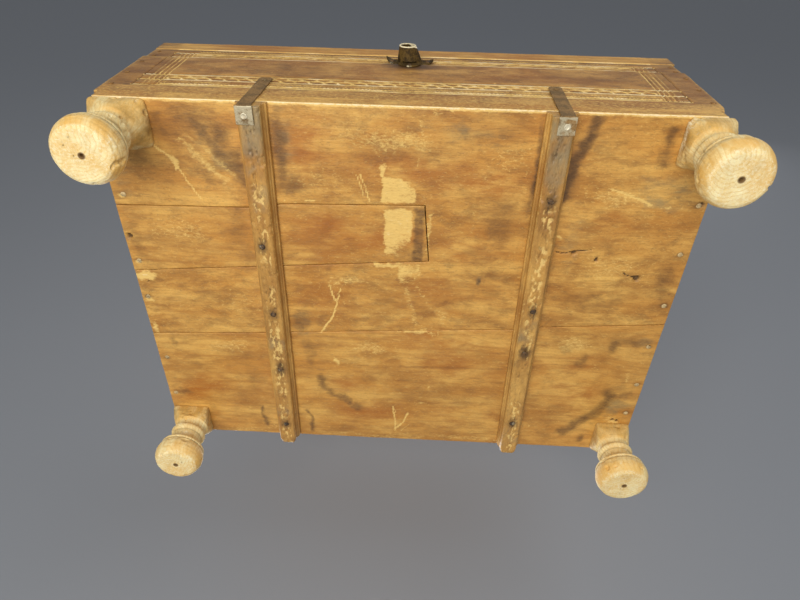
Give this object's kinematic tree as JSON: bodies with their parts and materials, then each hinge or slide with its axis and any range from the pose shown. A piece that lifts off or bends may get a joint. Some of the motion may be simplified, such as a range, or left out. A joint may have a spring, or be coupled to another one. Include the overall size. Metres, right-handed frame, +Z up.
{
  "type": "donation box",
  "caption": "Low wooden donation box with a hinged lid, a coin slot and a nailed iron lock nozzle, on four turned legs.",
  "frame": {"origin": "on the surface that the feet stand on, under the middle of the box's footprint", "axes": "+Z up; -Y is the front, with the lock; +X is to the right as seen from the front"},
  "size_m": [0.439, 0.3465, 0.2083],
  "materials": {
    "case_wood": "old honey-brown hardwood, waxed and worn, with dark stains",
    "batten_wood": "moulded rails, dark in the corners and worn on the crown",
    "leg_wood": "pale bare turned hardwood, dry and chipped",
    "sheet_iron": "old sheet iron, grey where rubbed and rust brown elsewhere",
    "lock_iron": "forged iron with a dark bronze-brown patina and bright worn rims",
    "nail_iron": "hand-made nails, dark and rusty"
  },
  "bodies": {
    "case": {"bottom_plank_front": "case_wood", "bottom_patch_board": "case_wood", "bottom_plank_rear": "case_wood", "front_wall": "case_wood", "back_wall": "case_wood", "left_wall": "case_wood", "right_wall": "case_wood", "leg_front_left": "leg_wood", "leg_front_right": "leg_wood", "leg_rear_left": "leg_wood", "leg_rear_right": "leg_wood", "batten_left": "batten_wood", "batten_right": "batten_wood", "corner_strap_left": "sheet_iron", "corner_strap_right": "sheet_iron", "hinge_body_leaf_left": "sheet_iron", "hinge_body_leaf_right": "sheet_iron", "hinge_pin_left": "sheet_iron", "hinge_pin_right": "sheet_iron", "lock_tongue": "lock_iron", "bottom_nails": "nail_iron", "batten_nails": "nail_iron", "strap_nails": "nail_iron", "wall_nails": "nail_iron", "hinge_body_nails": "nail_iron", "lock_tongue_nail": "nail_iron"},
    "lid": {"lid_rim_front": "case_wood", "lid_rim_back": "case_wood", "lid_rim_left": "case_wood", "lid_rim_right": "case_wood", "lid_plank_front": "case_wood", "lid_plank_middle": "case_wood", "lid_plank_rear": "case_wood", "lid_cleat_left": "case_wood", "lid_cleat_right": "case_wood", "coin_slot_plate": "sheet_iron", "hinge_lid_leaf_left": "sheet_iron", "hinge_lid_leaf_right": "sheet_iron", "lock_nozzle": "lock_iron", "lid_rim_nails": "nail_iron", "lid_plank_nails": "nail_iron", "cleat_nails": "nail_iron", "slot_plate_nails": "nail_iron", "lock_nails": "nail_iron", "hinge_lid_nails": "nail_iron"}
  },
  "joints": [
    {"name": "lid_hinge", "type": "hinge", "parent": "case", "child": "lid", "pos_m": [0, 0.16925, 0.15815], "axis": [-1, 0, 0], "range_deg": [0, 105]}
  ]
}
